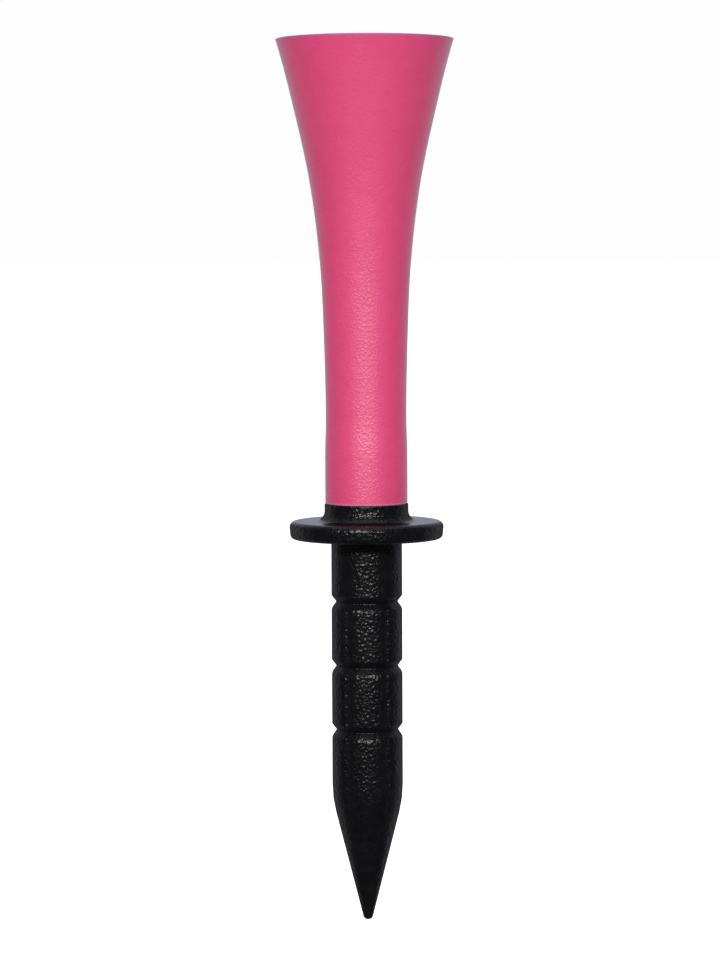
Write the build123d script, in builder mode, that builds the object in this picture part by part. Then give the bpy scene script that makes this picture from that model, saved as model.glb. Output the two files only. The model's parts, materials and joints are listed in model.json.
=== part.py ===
from build123d import *
import os
from math import cos, radians, sin, sqrt, tan

# A two-piece moulded golf tee. A stiff spike stands in the ground up to its round flange, and
# a soft flared sleeve is pushed onto the spigot above the flange and carries the ball.
# Millimetres. The origin is on the axis at the flange's underside, the ground line; +Z is up.

# Ground spike, below the flange
SHANK_RADIUS = 3.32
SPIKE_DEPTH = 36.09
CONE_HALF_ANGLE = 14.26
CONE_SHOULDER_ROUND = 11.0
TIP_RADIUS = 0.38
TIP_ROUND = 0.40

# V grooves round the shank, with a crisp upper lip and a rounded lower lip
GROOVE_COUNT = 3
FIRST_GROOVE_DEPTH = 5.91
GROOVE_PITCH = 6.045
GROOVE_CUT = 0.45
GROOVE_UPPER_HEIGHT = 0.60
GROOVE_LOWER_HEIGHT = 0.62
GROOVE_ROOT_ROUND = 0.10
GROOVE_LIP_ROUND = 0.80

# Shallow V flutes along the shank, from the first groove to the cone, with lips rounded
# over into the shank; a land between two flutes faces -Y
FLUTE_COUNT = 5
FLUTE_START_ANGLE = 90
FLUTE_CUT = 0.16
FLUTE_HALF_ANGLE = 11.0
FLUTE_LIP_RISE = 0.01

# Flange and collar
FLANGE_RADIUS = 7.26
FLANGE_THICKNESS = 1.66
FLANGE_DRAFT = 0.14
FLANGE_TOP_ROUND = 0.55
FLANGE_BOTTOM_ROUND = 0.45
COLLAR_HEIGHT = 1.63
COLLAR_PROUD = 0.075
COLLAR_FOOT_ROUND = 0.95

# Spigot that holds the sleeve, with flat-topped ribs and a tapered nose
SPIGOT_HEIGHT = 7.4
SPIGOT_NOSE = 0.55
SPIGOT_NOSE_CUT = 0.28
SPIGOT_NOSE_ROUND = 0.1
RIB_COUNT = 3
RIB_PITCH = 2.0
RIB_LAND = 0.5
RIB_FLANK = 0.3
RIB_CUT = 0.22
BORE_CLEARANCE = 0.04

# Cup sleeve: a tube at its foot that widens to a trumpet with a bevelled seat for the ball
SLEEVE_HEIGHT = 43.17
SLEEVE_FOOT_RADIUS = 3.855
SLEEVE_FOOT_WALL = 1.42
SLEEVE_RIM_RADIUS = 8.28
SLEEVE_RIM_WALL = 1.15
SLEEVE_RIM_SLOPE = 0.31
WAIST_CUT = 0.08
WAIST_ABOVE_SPIGOT = 0.5
WAIST_BLEND = 3.5
RIM_LIP_WIDTH = 0.25
RIM_EDGE_ROUND = 0.05
BALL_RADIUS = 21.335

# The flare between waist and rim: share of its height, then share of its widening
FLARE_STATIONS = ((0.21, 0.03), (0.42, 0.11), (0.63, 0.315), (0.84, 0.67))

os.makedirs("parts", exist_ok=True)

# Levels, from the ground line up
collar_foot_z = FLANGE_THICKNESS
sleeve_foot_z = collar_foot_z + COLLAR_HEIGHT
spigot_top_z = sleeve_foot_z + SPIGOT_HEIGHT
waist_z = spigot_top_z + WAIST_ABOVE_SPIGOT
rim_z = sleeve_foot_z + SLEEVE_HEIGHT

# Radii that follow from the sleeve's seat on the spike
collar_radius = SLEEVE_FOOT_RADIUS + COLLAR_PROUD
bore_radius = SLEEVE_FOOT_RADIUS - SLEEVE_FOOT_WALL
rib_radius = bore_radius - BORE_CLEARANCE
core_radius = rib_radius - RIB_CUT

# The cone, from where its side meets the shank down to its blunt end
cone_height = (SHANK_RADIUS - TIP_RADIUS) / tan(radians(CONE_HALF_ANGLE))
cone_top_z = cone_height - SPIKE_DEPTH


def spigot_outline():
    """Corners and corner rounds of the spigot, from its top centre down to the collar."""
    points = [(0, spigot_top_z)]
    points.append((core_radius - SPIGOT_NOSE_CUT, spigot_top_z))
    points.append((core_radius, spigot_top_z - SPIGOT_NOSE))
    rounds = [SPIGOT_NOSE_ROUND, 0]
    ribs_z = (spigot_top_z - SPIGOT_NOSE + sleeve_foot_z) / 2
    for number in range(RIB_COUNT):
        rib_z = ribs_z + ((RIB_COUNT - 1) / 2 - number) * RIB_PITCH
        points.append((core_radius, rib_z + RIB_LAND / 2 + RIB_FLANK))
        points.append((rib_radius, rib_z + RIB_LAND / 2))
        points.append((rib_radius, rib_z - RIB_LAND / 2))
        points.append((core_radius, rib_z - RIB_LAND / 2 - RIB_FLANK))
        rounds += [0, 0, 0, 0]
    points.append((core_radius, sleeve_foot_z))
    rounds.append(0)
    return points, rounds


def spike_outline():
    """Corners and corner rounds of half the spike, from the spigot's top down to the tip."""
    points, rounds = spigot_outline()
    points.append((collar_radius, sleeve_foot_z))
    points.append((collar_radius, collar_foot_z))
    points.append((FLANGE_RADIUS, collar_foot_z))
    points.append((FLANGE_RADIUS - FLANGE_DRAFT, 0))
    points.append((SHANK_RADIUS, 0))
    rounds += [0, COLLAR_FOOT_ROUND, FLANGE_TOP_ROUND, FLANGE_BOTTOM_ROUND, 0]
    for number in range(GROOVE_COUNT):
        root_z = -FIRST_GROOVE_DEPTH - number * GROOVE_PITCH
        points.append((SHANK_RADIUS, root_z + GROOVE_UPPER_HEIGHT))
        points.append((SHANK_RADIUS - GROOVE_CUT, root_z))
        points.append((SHANK_RADIUS, root_z - GROOVE_LOWER_HEIGHT))
        rounds += [0, GROOVE_ROOT_ROUND, GROOVE_LIP_ROUND]
    points.append((SHANK_RADIUS, cone_top_z))
    points.append((TIP_RADIUS, -SPIKE_DEPTH))
    points.append((0, -SPIKE_DEPTH))
    rounds += [CONE_SHOULDER_ROUND, TIP_ROUND]
    return points, rounds


def wall_at(height_share):
    """Wall of the flare, measured across the axis, at a share of its height."""
    return SLEEVE_FOOT_WALL + height_share * (SLEEVE_RIM_WALL - SLEEVE_FOOT_WALL)


# Ground spike: one stiff moulding, round in outline, with flutes along its grooved shank
outline_points, outline_rounds = spike_outline()
flute_root_radius = SHANK_RADIUS - FLUTE_CUT
flute_angle = radians(FLUTE_HALF_ANGLE)
lip_x = (SHANK_RADIUS + FLUTE_LIP_RISE) * cos(flute_angle) - flute_root_radius
lip_y = (SHANK_RADIUS + FLUTE_LIP_RISE) * sin(flute_angle)
round_shank = (sin(flute_angle), -cos(flute_angle))

# Section of one flute's cutter: two walls that meet at the flute's root, which is at (0, 0)
with BuildSketch() as flute:
    with BuildLine():
        TangentArc((lip_x, lip_y), (0, 0), tangent=round_shank)
        Line((lip_x, lip_y), (lip_x + FLUTE_CUT, lip_y))
        mirror(about=Plane.XZ)
        Line((lip_x + FLUTE_CUT, lip_y), (lip_x + FLUTE_CUT, -lip_y))
    make_face()

with BuildPart() as ground_spike:
    with BuildSketch(Plane.XZ):
        with BuildLine():
            FilletPolyline(*outline_points, radius=outline_rounds)
            Line((0, -SPIKE_DEPTH), (0, spigot_top_z))
        make_face()
    revolve(axis=Axis.Z)
    with BuildSketch(Plane.XY.offset(-FIRST_GROOVE_DEPTH)):
        with PolarLocations(flute_root_radius, FLUTE_COUNT, FLUTE_START_ANGLE):
            add(flute.sketch)
    extrude(amount=FIRST_GROOVE_DEPTH - SPIKE_DEPTH, mode=Mode.SUBTRACT)

ground_spike.part.label = "ground_spike"
export_step(ground_spike.part, "parts/ground_spike.step")

# Cup sleeve: one soft moulding, open right through, whose inside follows the flare outside
waist_radius = SLEEVE_FOOT_RADIUS - WAIST_CUT
flare_height = rim_z - waist_z
flare_widening = SLEEVE_RIM_RADIUS - waist_radius
seat_outer_radius = SLEEVE_RIM_RADIUS - RIM_LIP_WIDTH
seat_inner_radius = SLEEVE_RIM_RADIUS - SLEEVE_RIM_WALL
seat_slope = seat_inner_radius / sqrt(BALL_RADIUS**2 - seat_inner_radius**2)
seat_inner_z = rim_z - (seat_outer_radius - seat_inner_radius) * seat_slope
straight_up = (0, 1)
out_at_rim = (SLEEVE_RIM_SLOPE, 1)

outer_flare = [(waist_radius, waist_z)]
inner_flare = [(bore_radius, waist_z)]
for height_share, widening_share in FLARE_STATIONS:
    station_z = waist_z + height_share * flare_height
    station_radius = waist_radius + widening_share * flare_widening
    outer_flare.append((station_radius, station_z))
    inner_flare.append((station_radius - wall_at(height_share), station_z))
outer_flare.append((SLEEVE_RIM_RADIUS, rim_z))
inner_flare.append((seat_inner_radius, seat_inner_z))

with BuildPart() as cup_sleeve:
    with BuildSketch(Plane.XZ):
        with BuildLine():
            Line((bore_radius, sleeve_foot_z), (SLEEVE_FOOT_RADIUS, sleeve_foot_z))
            foot = Line((SLEEVE_FOOT_RADIUS, sleeve_foot_z), (SLEEVE_FOOT_RADIUS, waist_z - WAIST_BLEND))
            Spline(foot @ 1, outer_flare[0], tangents=(straight_up, straight_up))
            Spline(*outer_flare, tangents=(straight_up, out_at_rim))
            Line((SLEEVE_RIM_RADIUS, rim_z), (seat_outer_radius, rim_z))
            Line((seat_outer_radius, rim_z), (seat_inner_radius, seat_inner_z))
            Spline(*inner_flare, tangents=(straight_up, out_at_rim))
            Line((bore_radius, waist_z), (bore_radius, sleeve_foot_z))
        make_face()
    revolve(axis=Axis.Z)
    rim_edge = cup_sleeve.edges().group_by(Axis.Z)[-1].sort_by(SortBy.RADIUS)[-1]
    fillet(rim_edge, RIM_EDGE_ROUND)

cup_sleeve.part.label = "cup_sleeve"
export_step(cup_sleeve.part, "parts/cup_sleeve.step")
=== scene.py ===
import json
from math import atan2, cos, hypot, pi, radians, sin, sqrt, tan

import bpy
from mathutils import Matrix, Vector


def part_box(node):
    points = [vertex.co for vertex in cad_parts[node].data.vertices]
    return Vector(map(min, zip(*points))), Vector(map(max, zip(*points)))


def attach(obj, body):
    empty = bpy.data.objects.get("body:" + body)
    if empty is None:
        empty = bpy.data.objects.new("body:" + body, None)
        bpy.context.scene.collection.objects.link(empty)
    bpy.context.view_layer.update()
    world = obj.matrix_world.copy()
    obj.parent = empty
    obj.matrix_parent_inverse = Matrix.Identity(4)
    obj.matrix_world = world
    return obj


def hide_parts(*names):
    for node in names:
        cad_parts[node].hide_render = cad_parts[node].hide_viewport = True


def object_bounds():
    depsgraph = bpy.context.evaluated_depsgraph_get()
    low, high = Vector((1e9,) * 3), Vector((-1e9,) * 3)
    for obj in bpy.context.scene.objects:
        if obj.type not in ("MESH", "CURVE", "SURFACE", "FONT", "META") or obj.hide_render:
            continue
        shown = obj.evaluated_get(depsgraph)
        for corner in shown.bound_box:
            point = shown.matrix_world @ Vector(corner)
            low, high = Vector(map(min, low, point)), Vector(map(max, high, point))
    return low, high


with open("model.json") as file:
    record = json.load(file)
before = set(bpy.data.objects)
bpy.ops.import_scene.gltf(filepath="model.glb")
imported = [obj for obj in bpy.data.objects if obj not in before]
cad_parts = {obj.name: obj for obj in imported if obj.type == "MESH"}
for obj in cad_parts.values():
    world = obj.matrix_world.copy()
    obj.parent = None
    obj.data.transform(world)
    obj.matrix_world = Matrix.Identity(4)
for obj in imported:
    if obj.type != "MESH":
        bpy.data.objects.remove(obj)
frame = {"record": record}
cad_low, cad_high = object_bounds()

# Everything is in metres, as the frame is. MM turns a size in millimetres into metres.
MM = 0.001

# ---------------------------------------------------------------------------------------------
# Cup sleeve. One soft pink moulding in thermoplastic elastomer: a tube at its foot that flares
# into a trumpet, with a bevel inside the rim where the ball sits. It is pushed over the spigot,
# which stretches its foot a little, so a faint waist shows just above the spigot's end.
# ---------------------------------------------------------------------------------------------
SLEEVE_TURN_STEPS = 192
SLEEVE_ARC_STEP = radians(9)
SLEEVE_LONGEST_RUN = 0.6 * MM
MERGE_DISTANCE = 0.002 * MM
SMOOTHING_ANGLE = radians(40)
FOOT_RADIUS = 3.855 * MM
FOOT_WALL = 1.42 * MM
FOOT_EDGE_ROUND = 0.12 * MM
FOOT_RINGS = 14
WAIST_RADIUS = 3.775 * MM
WAIST_ABOVE_SPIGOT = 0.5 * MM
WAIST_BLEND = 3.5 * MM
RIM_RADIUS = 8.28 * MM
RIM_WALL = 1.15 * MM
RIM_LIP_WIDTH = 0.25 * MM
RIM_EDGE_ROUND = 0.05 * MM
RIM_SLOPE = 0.31
SEAT_TOP_ROUND = 0.15 * MM
SEAT_FOOT_ROUND = 0.2 * MM
BALL_RADIUS = 21.335 * MM
FLARE_RINGS = 80
# The flare between waist and rim: share of its height, then share of its widening.
FLARE_STATIONS = (
    (0.0, 0.0),
    (0.21, 0.03),
    (0.42, 0.11),
    (0.63, 0.315),
    (0.84, 0.67),
    (1.0, 1.0),
)


def deselect_all():
    """Leaves object mode with nothing selected."""
    if bpy.context.object and bpy.context.object.mode != "OBJECT":
        bpy.ops.object.mode_set(mode="OBJECT")
    bpy.ops.object.select_all(action="DESELECT")


def smooth_through(stations, start_slope, end_slope, share):
    """A smooth curve through the stations, with the given slopes at its two ends."""
    heights = [s[0] for s in stations]
    values = [s[1] for s in stations]
    slopes = [start_slope]
    for i in range(1, len(stations) - 1):
        slopes.append((values[i + 1] - values[i - 1]) / (heights[i + 1] - heights[i - 1]))
    slopes.append(end_slope)
    i = 0
    while i < len(stations) - 2 and share > heights[i + 1]:
        i += 1
    span = heights[i + 1] - heights[i]
    t = (share - heights[i]) / span
    return (
        (2 * t**3 - 3 * t**2 + 1) * values[i]
        + (t**3 - 2 * t**2 + t) * span * slopes[i]
        + (3 * t**2 - 2 * t**3) * values[i + 1]
        + (t**3 - t**2) * span * slopes[i + 1]
    )


def rounded_outline(corners, arc_step, longest_run):
    """Points of a (radius, height) outline whose corners (radius, height, round) are rounded."""
    points = []
    last = len(corners) - 1
    for i, (r, z, corner_round) in enumerate(corners):
        here = Vector((r, z))
        if i in (0, last) or corner_round == 0:
            bend = [here]
        else:
            before = (Vector(corners[i - 1][:2]) - here).normalized()
            after = (Vector(corners[i + 1][:2]) - here).normalized()
            turn = pi - before.angle(after)
            reach = corner_round * tan(turn / 2)
            start, end = here + before * reach, here + after * reach
            centre = here + (before + after).normalized() * corner_round / cos(turn / 2)
            steps = max(2, round(turn / arc_step))
            sweep = (start - centre).angle_signed(end - centre)
            bend = []
            for step in range(steps + 1):
                spoke = start - centre
                spoke.rotate(Matrix.Rotation(-sweep * step / steps, 2))
                bend.append(centre + spoke)
        if points:
            run = bend[0] - points[-1]
            pieces = int(run.length / longest_run) + 1
            points += [points[-1] + run * k / pieces for k in range(1, pieces)]
        points += bend
    return points


def turned_piece(name, outline, steps):
    """Draws the outline in the XZ plane by extruding one vertex along it, and spins it round Z."""
    deselect_all()
    bpy.ops.mesh.primitive_plane_add(size=MM, location=(0, 0, 0))
    piece = bpy.context.object
    piece.name = name
    piece.data.name = name
    bpy.ops.object.mode_set(mode="EDIT")
    bpy.ops.mesh.merge(type="CENTER")
    bpy.ops.transform.translate(value=(outline[0].x, 0, outline[0].y))
    bpy.ops.mesh.select_mode(type="VERT")
    for start, end in zip(outline, outline[1:]):
        step = (end.x - start.x, 0, end.y - start.y)
        bpy.ops.mesh.extrude_region_move(TRANSFORM_OT_translate={"value": step})
    bpy.ops.mesh.select_all(action="SELECT")
    bpy.ops.mesh.spin(steps=steps, angle=2 * pi, center=(0, 0, 0), axis=(0, 0, 1))
    bpy.ops.mesh.select_all(action="SELECT")
    bpy.ops.mesh.remove_doubles(threshold=MERGE_DISTANCE)
    bpy.ops.mesh.normals_make_consistent(inside=False)
    bpy.ops.object.mode_set(mode="OBJECT")
    return piece


sleeve_low, sleeve_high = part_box("cup_sleeve")
spike_low, spike_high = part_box("ground_spike")
foot_z = sleeve_low.z
rim_z = sleeve_high.z
waist_z = spike_high.z + WAIST_ABOVE_SPIGOT
bore_radius = FOOT_RADIUS - FOOT_WALL
seat_outer_radius = RIM_RADIUS - RIM_LIP_WIDTH
seat_inner_radius = RIM_RADIUS - RIM_WALL
# The bevel has the slope of the ball's surface where the ball meets its inner edge.
seat_slope = seat_inner_radius / sqrt(BALL_RADIUS**2 - seat_inner_radius**2)
seat_drop = (RIM_WALL - RIM_LIP_WIDTH) * seat_slope
flare_height = rim_z - waist_z
flare_widening = RIM_RADIUS - WAIST_RADIUS
flare_end_slope = RIM_SLOPE * flare_height / flare_widening


def flare_radius(share):
    """Outside radius of the flare at a share of its height."""
    widened = smooth_through(FLARE_STATIONS, 0, flare_end_slope, share)
    return WAIST_RADIUS + flare_widening * widened


outside = []
for ring in range(FLARE_RINGS):
    share = ring / FLARE_RINGS
    outside.append((flare_radius(share), waist_z + share * flare_height, 0))
inside = []
for ring in range(FLARE_RINGS - 1, -1, -1):
    share = ring / FLARE_RINGS
    wall = FOOT_WALL + share * (RIM_WALL - FOOT_WALL)
    ring_z = waist_z + share * (flare_height - seat_drop)
    inside.append((flare_radius(share) - wall, ring_z, 0))
foot = []
for ring in range(FOOT_RINGS):
    share = ring / FOOT_RINGS
    ease = share * share * (3 - 2 * share)
    ring_z = waist_z - (1 - share) * WAIST_BLEND
    foot.append((FOOT_RADIUS + ease * (WAIST_RADIUS - FOOT_RADIUS), ring_z, 0))
sleeve_corners = [
    (bore_radius + FOOT_WALL / 2, foot_z, 0),
    (FOOT_RADIUS, foot_z, FOOT_EDGE_ROUND),
    *foot,
    *outside,
    (RIM_RADIUS, rim_z, RIM_EDGE_ROUND),
    (seat_outer_radius, rim_z, SEAT_TOP_ROUND),
    (seat_inner_radius, rim_z - seat_drop, SEAT_FOOT_ROUND),
    *inside,
    (bore_radius, foot_z, FOOT_EDGE_ROUND),
]
sleeve_outline = rounded_outline(sleeve_corners, SLEEVE_ARC_STEP, SLEEVE_LONGEST_RUN)
sleeve_outline.append(sleeve_outline[0])
sleeve = turned_piece("sleeve", sleeve_outline, SLEEVE_TURN_STEPS)
bpy.ops.object.shade_smooth_by_angle(angle=SMOOTHING_ANGLE)


class Field:
    """A shader socket that can be used in ordinary arithmetic."""

    def __init__(self, nodes, socket):
        self.nodes = nodes
        self.socket = socket

    def _maths(self, operation, first, second):
        return self.nodes.add("ShaderNodeMath", {"operation": operation}, {0: first, 1: second})

    def __add__(self, other):
        return self._maths("ADD", self, other)

    def __sub__(self, other):
        return self._maths("SUBTRACT", self, other)

    def __mul__(self, other):
        return self._maths("MULTIPLY", self, other)

    def __rsub__(self, other):
        return self._maths("SUBTRACT", other, self)

    __radd__ = __add__
    __rmul__ = __mul__

    def power(self, other):
        return self._maths("POWER", self, other)

    def between(self, low, high):
        """0 below low, 1 above high and smooth between."""
        inputs = {"Value": self, "From Min": low, "From Max": high}
        return self.nodes.add("ShaderNodeMapRange", {"interpolation_type": "SMOOTHSTEP"}, inputs)


class Nodes:
    """A node tree whose add method makes any node and returns one output as a Field."""

    def __init__(self, tree):
        self.tree = tree

    def add(self, kind, settings=None, inputs=None, output=0):
        node = self.tree.nodes.new(kind)
        for key, value in (settings or {}).items():
            setattr(node, key, value)
        for key, value in (inputs or {}).items():
            self.put(node.inputs[key], value)
        return Field(self, node.outputs[output])

    def put(self, target, value):
        """Links a Field to a socket, or sets a plain value on it."""
        if isinstance(value, Field):
            self.tree.links.new(value.socket, target)
        else:
            target.default_value = value

    def mix(self, share, first, second):
        """Colour that runs from first to second as share goes from 0 to 1."""
        inputs = {0: share, 6: first, 7: second}
        return self.add("ShaderNodeMix", {"data_type": "RGBA"}, inputs, output=2)


class Finish(Nodes):
    """A material's node tree, with the patterns that the surfaces here need."""

    def __init__(self, name):
        self.material = bpy.data.materials.new(name)
        self.material.use_nodes = True
        super().__init__(self.material.node_tree)
        self.shader = self.tree.nodes["Principled BSDF"]

    def place(self):
        """Object coordinates, in metres."""
        return self.add("ShaderNodeTexCoord", output="Object")

    def grain(self, size, detail):
        """Fine noise whose lumps are about size metres across."""
        inputs = {"Vector": self.place(), "Scale": 1 / size, "Detail": detail, "Roughness": 0.55}
        return self.add("ShaderNodeTexNoise", {}, inputs)

    def pits(self, size):
        """Small round pits, about size metres apart, with ragged places."""
        noise_inputs = {"Vector": self.place(), "Scale": 0.8 / size}
        ragged = self.add("ShaderNodeTexNoise", {}, noise_inputs, "Color")
        shift = {0: ragged, 1: (size / 2, size / 2, size / 2), 2: self.place()}
        moved = self.add("ShaderNodeVectorMath", {"operation": "MULTIPLY_ADD"}, shift)
        inputs = {"Vector": moved, "Scale": 1 / size, "Smoothness": 0.35}
        return self.add("ShaderNodeTexVoronoi", {"feature": "SMOOTH_F1"}, inputs, "Distance")

    def height(self):
        """Height above the ground line, in metres."""
        return self.add("ShaderNodeSeparateXYZ", {}, {0: self.place()}, "Z")

    def bump(self, height_map, depth):
        """Surface relief of the given depth, in metres, for the shader's Normal."""
        inputs = {"Strength": 1.0, "Distance": depth, "Height": height_map}
        return self.add("ShaderNodeBump", {}, inputs)

    def set(self, name, value):
        """Sets or links one of the shader's own sockets."""
        self.put(self.shader.inputs[name], value)


def eroded(pits, fine):
    """Height map of a spark-eroded mould's grain: its pits, with a little of the finer noise."""
    return pits * 0.8 + fine * 0.2


# The elastomer: satin pink with the fine spark-eroded grain of its mould. A painted highlight
# makes it paler along the edge of the foot, and a painted reflection makes it mauve along the rim.
PINK = (0.800, 0.060, 0.205, 1)
PINK_DEEP = (0.775, 0.055, 0.195, 1)
PINK_FOOT_HIGHLIGHT = (0.72, 0.27, 0.40, 1)
PINK_RIM_REFLECTION = (0.55, 0.12, 0.33, 1)
PINK_MOTTLE_SIZE = 1.1 * MM
FOOT_HIGHLIGHT_HEIGHT = 0.28 * MM
RIM_REFLECTION_HEIGHT = 0.35 * MM
SLEEVE_PIT_SIZE = 0.22 * MM
FINE_GRAIN_SIZE = 0.16 * MM
SLEEVE_GRAIN_DEPTH = 0.030 * MM
SLEEVE_ROUGHNESS = 0.30
SLEEVE_ROUGHNESS_SPREAD = 0.12

pink = Finish("pink_elastomer")
sleeve_mottle = pink.grain(PINK_MOTTLE_SIZE, detail=3)
sleeve_pits = pink.pits(SLEEVE_PIT_SIZE)
sleeve_fine = pink.grain(FINE_GRAIN_SIZE, detail=1)
# Painted highlight: a pale band along the foot's edge, mixed into the base colour.
foot_edge_highlight = 1 - pink.height().between(foot_z, foot_z + FOOT_HIGHLIGHT_HEIGHT)
# Painted reflection: a mauve band along the rim's edge, mixed into the base colour.
rim_edge_reflection = pink.height().between(rim_z - RIM_REFLECTION_HEIGHT, rim_z)
pink_body = pink.mix(sleeve_mottle.between(0.35, 0.65), PINK_DEEP, PINK)
pink_with_rim_reflection = pink.mix(rim_edge_reflection, pink_body, PINK_RIM_REFLECTION)
pink.set("Base Color", pink.mix(foot_edge_highlight, pink_with_rim_reflection, PINK_FOOT_HIGHLIGHT))
pink.set("Roughness", SLEEVE_ROUGHNESS + sleeve_fine * SLEEVE_ROUGHNESS_SPREAD)
pink.set("Specular IOR Level", 0.75)
pink.set("Coat Weight", 0.6)
pink.set("Coat Roughness", 0.45)
pink.set("Sheen Weight", 0.28)
pink.set("Sheen Roughness", 0.30)
pink.set("Sheen Tint", (0.84, 0.90, 1.0, 1))
pink.set("Normal", pink.bump(eroded(sleeve_pits, sleeve_fine), SLEEVE_GRAIN_DEPTH))
sleeve.data.materials.append(pink.material)
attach(sleeve, "sleeve")
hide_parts("cup_sleeve")

# ---------------------------------------------------------------------------------------------
# Ground spike. One stiff black moulding in filled plastic: a ribbed spigot inside the sleeve, a
# collar, a round flange that stops at the ground, a shank with three V grooves and five shallow
# V flutes, and a cone with a blunt end. Its mould was spark eroded, so it has a fine grain.
# ---------------------------------------------------------------------------------------------
SPIKE_TURN_STEPS = 240
SPIKE_ARC_STEP = radians(7)
SPIKE_LONGEST_RUN = 0.3 * MM
SPIGOT_NOSE = 0.55 * MM
SPIGOT_NOSE_CUT = 0.28 * MM
SPIGOT_NOSE_ROUND = 0.1 * MM
RIB_COUNT = 3
RIB_PITCH = 2.0 * MM
RIB_LAND = 0.5 * MM
RIB_FLANK = 0.3 * MM
RIB_CUT = 0.22 * MM
RIB_ROUND = 0.05 * MM
BORE_CLEARANCE = 0.04 * MM
COLLAR_RADIUS = 3.93 * MM
COLLAR_TOP_ROUND = 0.1 * MM
COLLAR_FOOT_ROUND = 0.95 * MM
FLANGE_RADIUS = 7.26 * MM
FLANGE_THICKNESS = 1.66 * MM
FLANGE_DRAFT = 0.14 * MM
FLANGE_TOP_ROUND = 0.55 * MM
FLANGE_BOTTOM_ROUND = 0.45 * MM
SHANK_FILLET = 0.15 * MM
GROOVE_COUNT = 3
FIRST_GROOVE_DEPTH = 5.91 * MM
GROOVE_PITCH = 6.045 * MM
GROOVE_CUT = 0.45 * MM
GROOVE_UPPER_HEIGHT = 0.60 * MM
GROOVE_LOWER_HEIGHT = 0.62 * MM
GROOVE_UPPER_ROUND = 0.12 * MM
GROOVE_ROOT_ROUND = 0.10 * MM
GROOVE_LIP_ROUND = 0.80 * MM
CONE_HALF_ANGLE = radians(14.26)
CONE_SHOULDER_ROUND = 11.0 * MM
TIP_RADIUS = 0.38 * MM
TIP_ROUND = 0.40 * MM
FLUTE_COUNT = 5
FLUTE_CUT = 0.16 * MM
FLUTE_HALF_ANGLE = radians(11)
FLUTE_SOFTNESS = 0.015 * MM

mounts = {m["name"]: m for m in frame["record"]["mounts"]}
shank_radius = mounts["shank"]["dims"]["r_mm"] * MM
spigot_top_z = spike_high.z
tip_z = spike_low.z
rib_radius = bore_radius - BORE_CLEARANCE
core_radius = rib_radius - RIB_CUT
cone_top_z = tip_z + (shank_radius - TIP_RADIUS) / tan(CONE_HALF_ANGLE)

spike_corners = [
    (0, spigot_top_z, 0),
    (core_radius - SPIGOT_NOSE_CUT, spigot_top_z, SPIGOT_NOSE_ROUND),
    (core_radius, spigot_top_z - SPIGOT_NOSE, SPIGOT_NOSE_ROUND),
]
ribs_z = (spigot_top_z - SPIGOT_NOSE + foot_z) / 2
for number in range(RIB_COUNT):
    rib_z = ribs_z + ((RIB_COUNT - 1) / 2 - number) * RIB_PITCH
    spike_corners += [
        (core_radius, rib_z + RIB_LAND / 2 + RIB_FLANK, RIB_ROUND),
        (rib_radius, rib_z + RIB_LAND / 2, RIB_ROUND),
        (rib_radius, rib_z - RIB_LAND / 2, RIB_ROUND),
        (core_radius, rib_z - RIB_LAND / 2 - RIB_FLANK, RIB_ROUND),
    ]
spike_corners += [
    (core_radius, foot_z, RIB_ROUND),
    (COLLAR_RADIUS, foot_z, COLLAR_TOP_ROUND),
    (COLLAR_RADIUS, FLANGE_THICKNESS, COLLAR_FOOT_ROUND),
    (FLANGE_RADIUS, FLANGE_THICKNESS, FLANGE_TOP_ROUND),
    (FLANGE_RADIUS - FLANGE_DRAFT, 0, FLANGE_BOTTOM_ROUND),
    (shank_radius, 0, SHANK_FILLET),
]
for number in range(GROOVE_COUNT):
    root_z = -FIRST_GROOVE_DEPTH - number * GROOVE_PITCH
    spike_corners += [
        (shank_radius, root_z + GROOVE_UPPER_HEIGHT, GROOVE_UPPER_ROUND),
        (shank_radius - GROOVE_CUT, root_z, GROOVE_ROOT_ROUND),
        (shank_radius, root_z - GROOVE_LOWER_HEIGHT, GROOVE_LIP_ROUND),
    ]
spike_corners += [
    (shank_radius, cone_top_z, CONE_SHOULDER_ROUND),
    (TIP_RADIUS, tip_z, TIP_ROUND),
    (0, tip_z, 0),
]
spike_outline = rounded_outline(spike_corners, SPIKE_ARC_STEP, SPIKE_LONGEST_RUN)
spike = turned_piece("spike", spike_outline, SPIKE_TURN_STEPS)

# Each wall of a flute is an arc that leaves the round shank at the flute's lip and reaches the
# flute's root. In this plan one flute's middle lies along the first axis.
flute_root_radius = shank_radius - FLUTE_CUT
lip_out = Vector((cos(FLUTE_HALF_ANGLE), sin(FLUTE_HALF_ANGLE)))
root_to_lip = lip_out * shank_radius - Vector((flute_root_radius, 0))
wall_radius = root_to_lip.length_squared / (2 * root_to_lip.dot(lip_out))
wall_centre = lip_out * (shank_radius - wall_radius)


def flute_wall(off_centre):
    """Distance from the axis to a flute's wall, at an angle off the flute's middle."""
    if off_centre >= FLUTE_HALF_ANGLE:
        return shank_radius
    along = wall_centre.dot(Vector((cos(off_centre), sin(off_centre))))
    return along + sqrt(wall_radius**2 - wall_centre.length_squared + along**2)


def soft_least(a, b, softness):
    """The smaller of two distances, rounded over where they cross."""
    share = min(1.0, max(0.0, 0.5 + 0.5 * (b - a) / softness))
    return b + (a - b) * share - softness * share * (1 - share)


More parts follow.
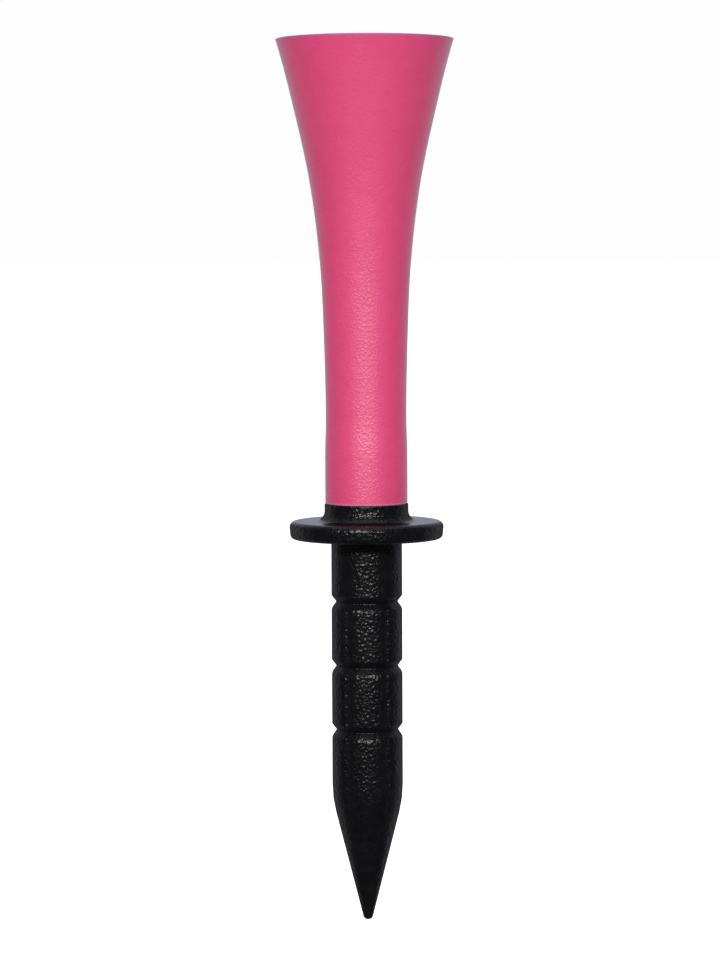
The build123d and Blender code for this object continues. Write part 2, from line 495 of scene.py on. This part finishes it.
# The flutes are pressed into the shank below the first groove's root. One is at the back, +Y,
# and as their number is odd, a land faces the front.
flute_sector = 2 * pi / FLUTE_COUNT
for vertex in spike.data.vertices:
    radius = hypot(vertex.co.x, vertex.co.y)
    if vertex.co.z < -FIRST_GROOVE_DEPTH and radius > TIP_RADIUS:
        angle = atan2(vertex.co.y, vertex.co.x) - pi / 2
        off_centre = abs((angle + flute_sector / 2) % flute_sector - flute_sector / 2)
        wall = flute_wall(off_centre)
        if wall < shank_radius:
            pressed = soft_least(radius, wall, FLUTE_SOFTNESS)
            vertex.co.x *= pressed / radius
            vertex.co.y *= pressed / radius
spike.data.update()
bpy.ops.object.shade_smooth_by_angle(angle=SMOOTHING_ANGLE)

# The filled plastic: satin black with sparkling high points of the mould's grain. Seen at a
# glancing angle the grain hides its own gloss, so the roughness rises there. The flange's upper
# face was turned in the mould, so it is smooth and mirrors what is pale behind it.
BLACK = (0.0040, 0.0038, 0.0048, 1)
BLACK_WORN = (0.0062, 0.0060, 0.0072, 1)
BLACK_MOTTLE_SIZE = 0.9 * MM
SPIKE_PIT_SIZE = 0.30 * MM
SPIKE_GRAIN_DEPTH = 0.070 * MM
GRAIN_ROUGHNESS = 0.10
GLANCING_ROUGHNESS = 0.6
TURNED_ROUGHNESS = 0.20
TURNED_GRAIN = 0.12
TURNED_DEPTH = 0.08 * MM
TURNED_FADE = 0.30 * MM

black = Finish("black_plastic")
spike_mottle = black.grain(BLACK_MOTTLE_SIZE, detail=3)
spike_pits = black.pits(SPIKE_PIT_SIZE)
spike_fine = black.grain(FINE_GRAIN_SIZE, detail=1)
glancing = black.add("ShaderNodeLayerWeight", {}, {"Blend": 0.5}, "Facing")
above_flange = black.height() - FLANGE_THICKNESS
at_flange_face = above_flange.between(-TURNED_FADE, 0)
past_flange_face = above_flange.between(TURNED_DEPTH, TURNED_FADE)
grained = 1 - at_flange_face * (1 - past_flange_face)
grain_share = TURNED_GRAIN + grained * (1 - TURNED_GRAIN)
grain_hides = spike_fine * GRAIN_ROUGHNESS + glancing.power(2) * GLANCING_ROUGHNESS
black.set("Specular IOR Level", 0.36)
black.set("Base Color", black.mix(spike_mottle.between(0.4, 0.7), BLACK, BLACK_WORN))
black.set("Roughness", TURNED_ROUGHNESS + grain_hides * grained)
black.set("Normal", black.bump(eroded(spike_pits, spike_fine) * grain_share, SPIKE_GRAIN_DEPTH))
spike.data.materials.append(black.material)
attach(spike, "spike")
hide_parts("ground_spike")

# ---------------------------------------------------------------------------------------------
# Studio: a plain pale floor just under the point, a pale surround and two soft boxes.
# ---------------------------------------------------------------------------------------------
FLOOR_WIDTH = 60
FLOOR_GAP = 0.02 * MM
FLOOR_COLOUR = (0.85, 0.85, 0.85, 1)
FLOOR_GLOW = 0.93
WHITE = (1, 1, 1, 1)

deselect_all()
bpy.ops.mesh.primitive_plane_add(size=FLOOR_WIDTH, location=(0, 0, tip_z - FLOOR_GAP))
floor = bpy.context.object
floor.name = "floor"
floor_finish = Finish("pale_floor")
floor_finish.set("Base Color", FLOOR_COLOUR)
floor_finish.set("Roughness", 0.9)
floor_finish.set("Specular IOR Level", 0.0)
floor_finish.set("Emission Color", WHITE)
floor_finish.set("Emission Strength", FLOOR_GLOW)
floor.data.materials.append(floor_finish.material)
floor.visible_glossy = False
floor.visible_diffuse = False

# The surround is white where it is seen, and grey where it lights matt surfaces. In gloss it is
# dim in front of the tee and pale blue behind it.
SURROUND_SEEN = (0.99, 0.99, 0.99, 1)
SURROUND_ON_MATT = (0.38, 0.38, 0.39, 1)
GLOSS_IN_FRONT = (0.05, 0.05, 0.05, 1)
GLOSS_BEHIND = (0.50, 0.51, 0.60, 1)

world = bpy.data.worlds.new("surround")
bpy.context.scene.world = world
world.use_nodes = True
surround = Nodes(world.node_tree)
direction = surround.add("ShaderNodeTexCoord", output="Generated")
behind = surround.add("ShaderNodeSeparateXYZ", {}, {0: direction}, "Y").between(0, 1)
matt_ray = surround.add("ShaderNodeLightPath", output="Is Diffuse Ray")
camera_ray = surround.add("ShaderNodeLightPath", output="Is Camera Ray")
mirrored = surround.mix(behind, GLOSS_IN_FRONT, GLOSS_BEHIND)
unseen = surround.mix(matt_ray, mirrored, SURROUND_ON_MATT)
seen = surround.mix(camera_ray, unseen, SURROUND_SEEN)
surround.put(surround.tree.nodes["Background"].inputs["Color"], seen)
bpy.context.scene.view_settings.view_transform = "Standard"


def soft_light(name, place, width, height, watts):
    """A rectangular soft box at place, facing the middle of the tee."""
    deselect_all()
    bpy.ops.object.light_add(type="AREA", location=place)
    light = bpy.context.object
    light.name = name
    light.data.shape = "RECTANGLE"
    light.data.size = width
    light.data.size_y = height
    light.data.energy = watts
    towards_tee = (cad_low + cad_high) / 2 - Vector(place)
    light.rotation_euler = towards_tee.to_track_quat("-Z", "Y").to_euler()


soft_light("front_strip", place=(-0.02, -0.58, 0.20), width=0.60, height=0.06, watts=3.0)
soft_light("top_box", place=(0, -0.05, 0.55), width=0.45, height=0.45, watts=0.6)

# ---------------------------------------------------------------------------------------------
# Camera: level with the upper part of the tee, looking slightly down. Its lens and its sensor
# are in millimetres, as Blender wants them.
# ---------------------------------------------------------------------------------------------
CAMERA_DISTANCE = 298.7 * MM
CAMERA_HEIGHT = 26.39 * MM
CAMERA_SIDE = -0.5 * MM
CAMERA_ROLL = radians(0.26)
AIM_HEIGHT = 5.48 * MM
LENS_MM = 120
SENSOR_MM = 36

deselect_all()
bpy.ops.object.camera_add(location=(CAMERA_SIDE, -CAMERA_DISTANCE, CAMERA_HEIGHT))
camera = bpy.context.object
camera.name = "camera"
camera.data.lens = LENS_MM
camera.data.sensor_width = SENSOR_MM
down = atan2(CAMERA_HEIGHT - AIM_HEIGHT, CAMERA_DISTANCE)
camera.rotation_euler = (pi / 2 - down, CAMERA_ROLL, 0)
bpy.context.scene.camera = camera
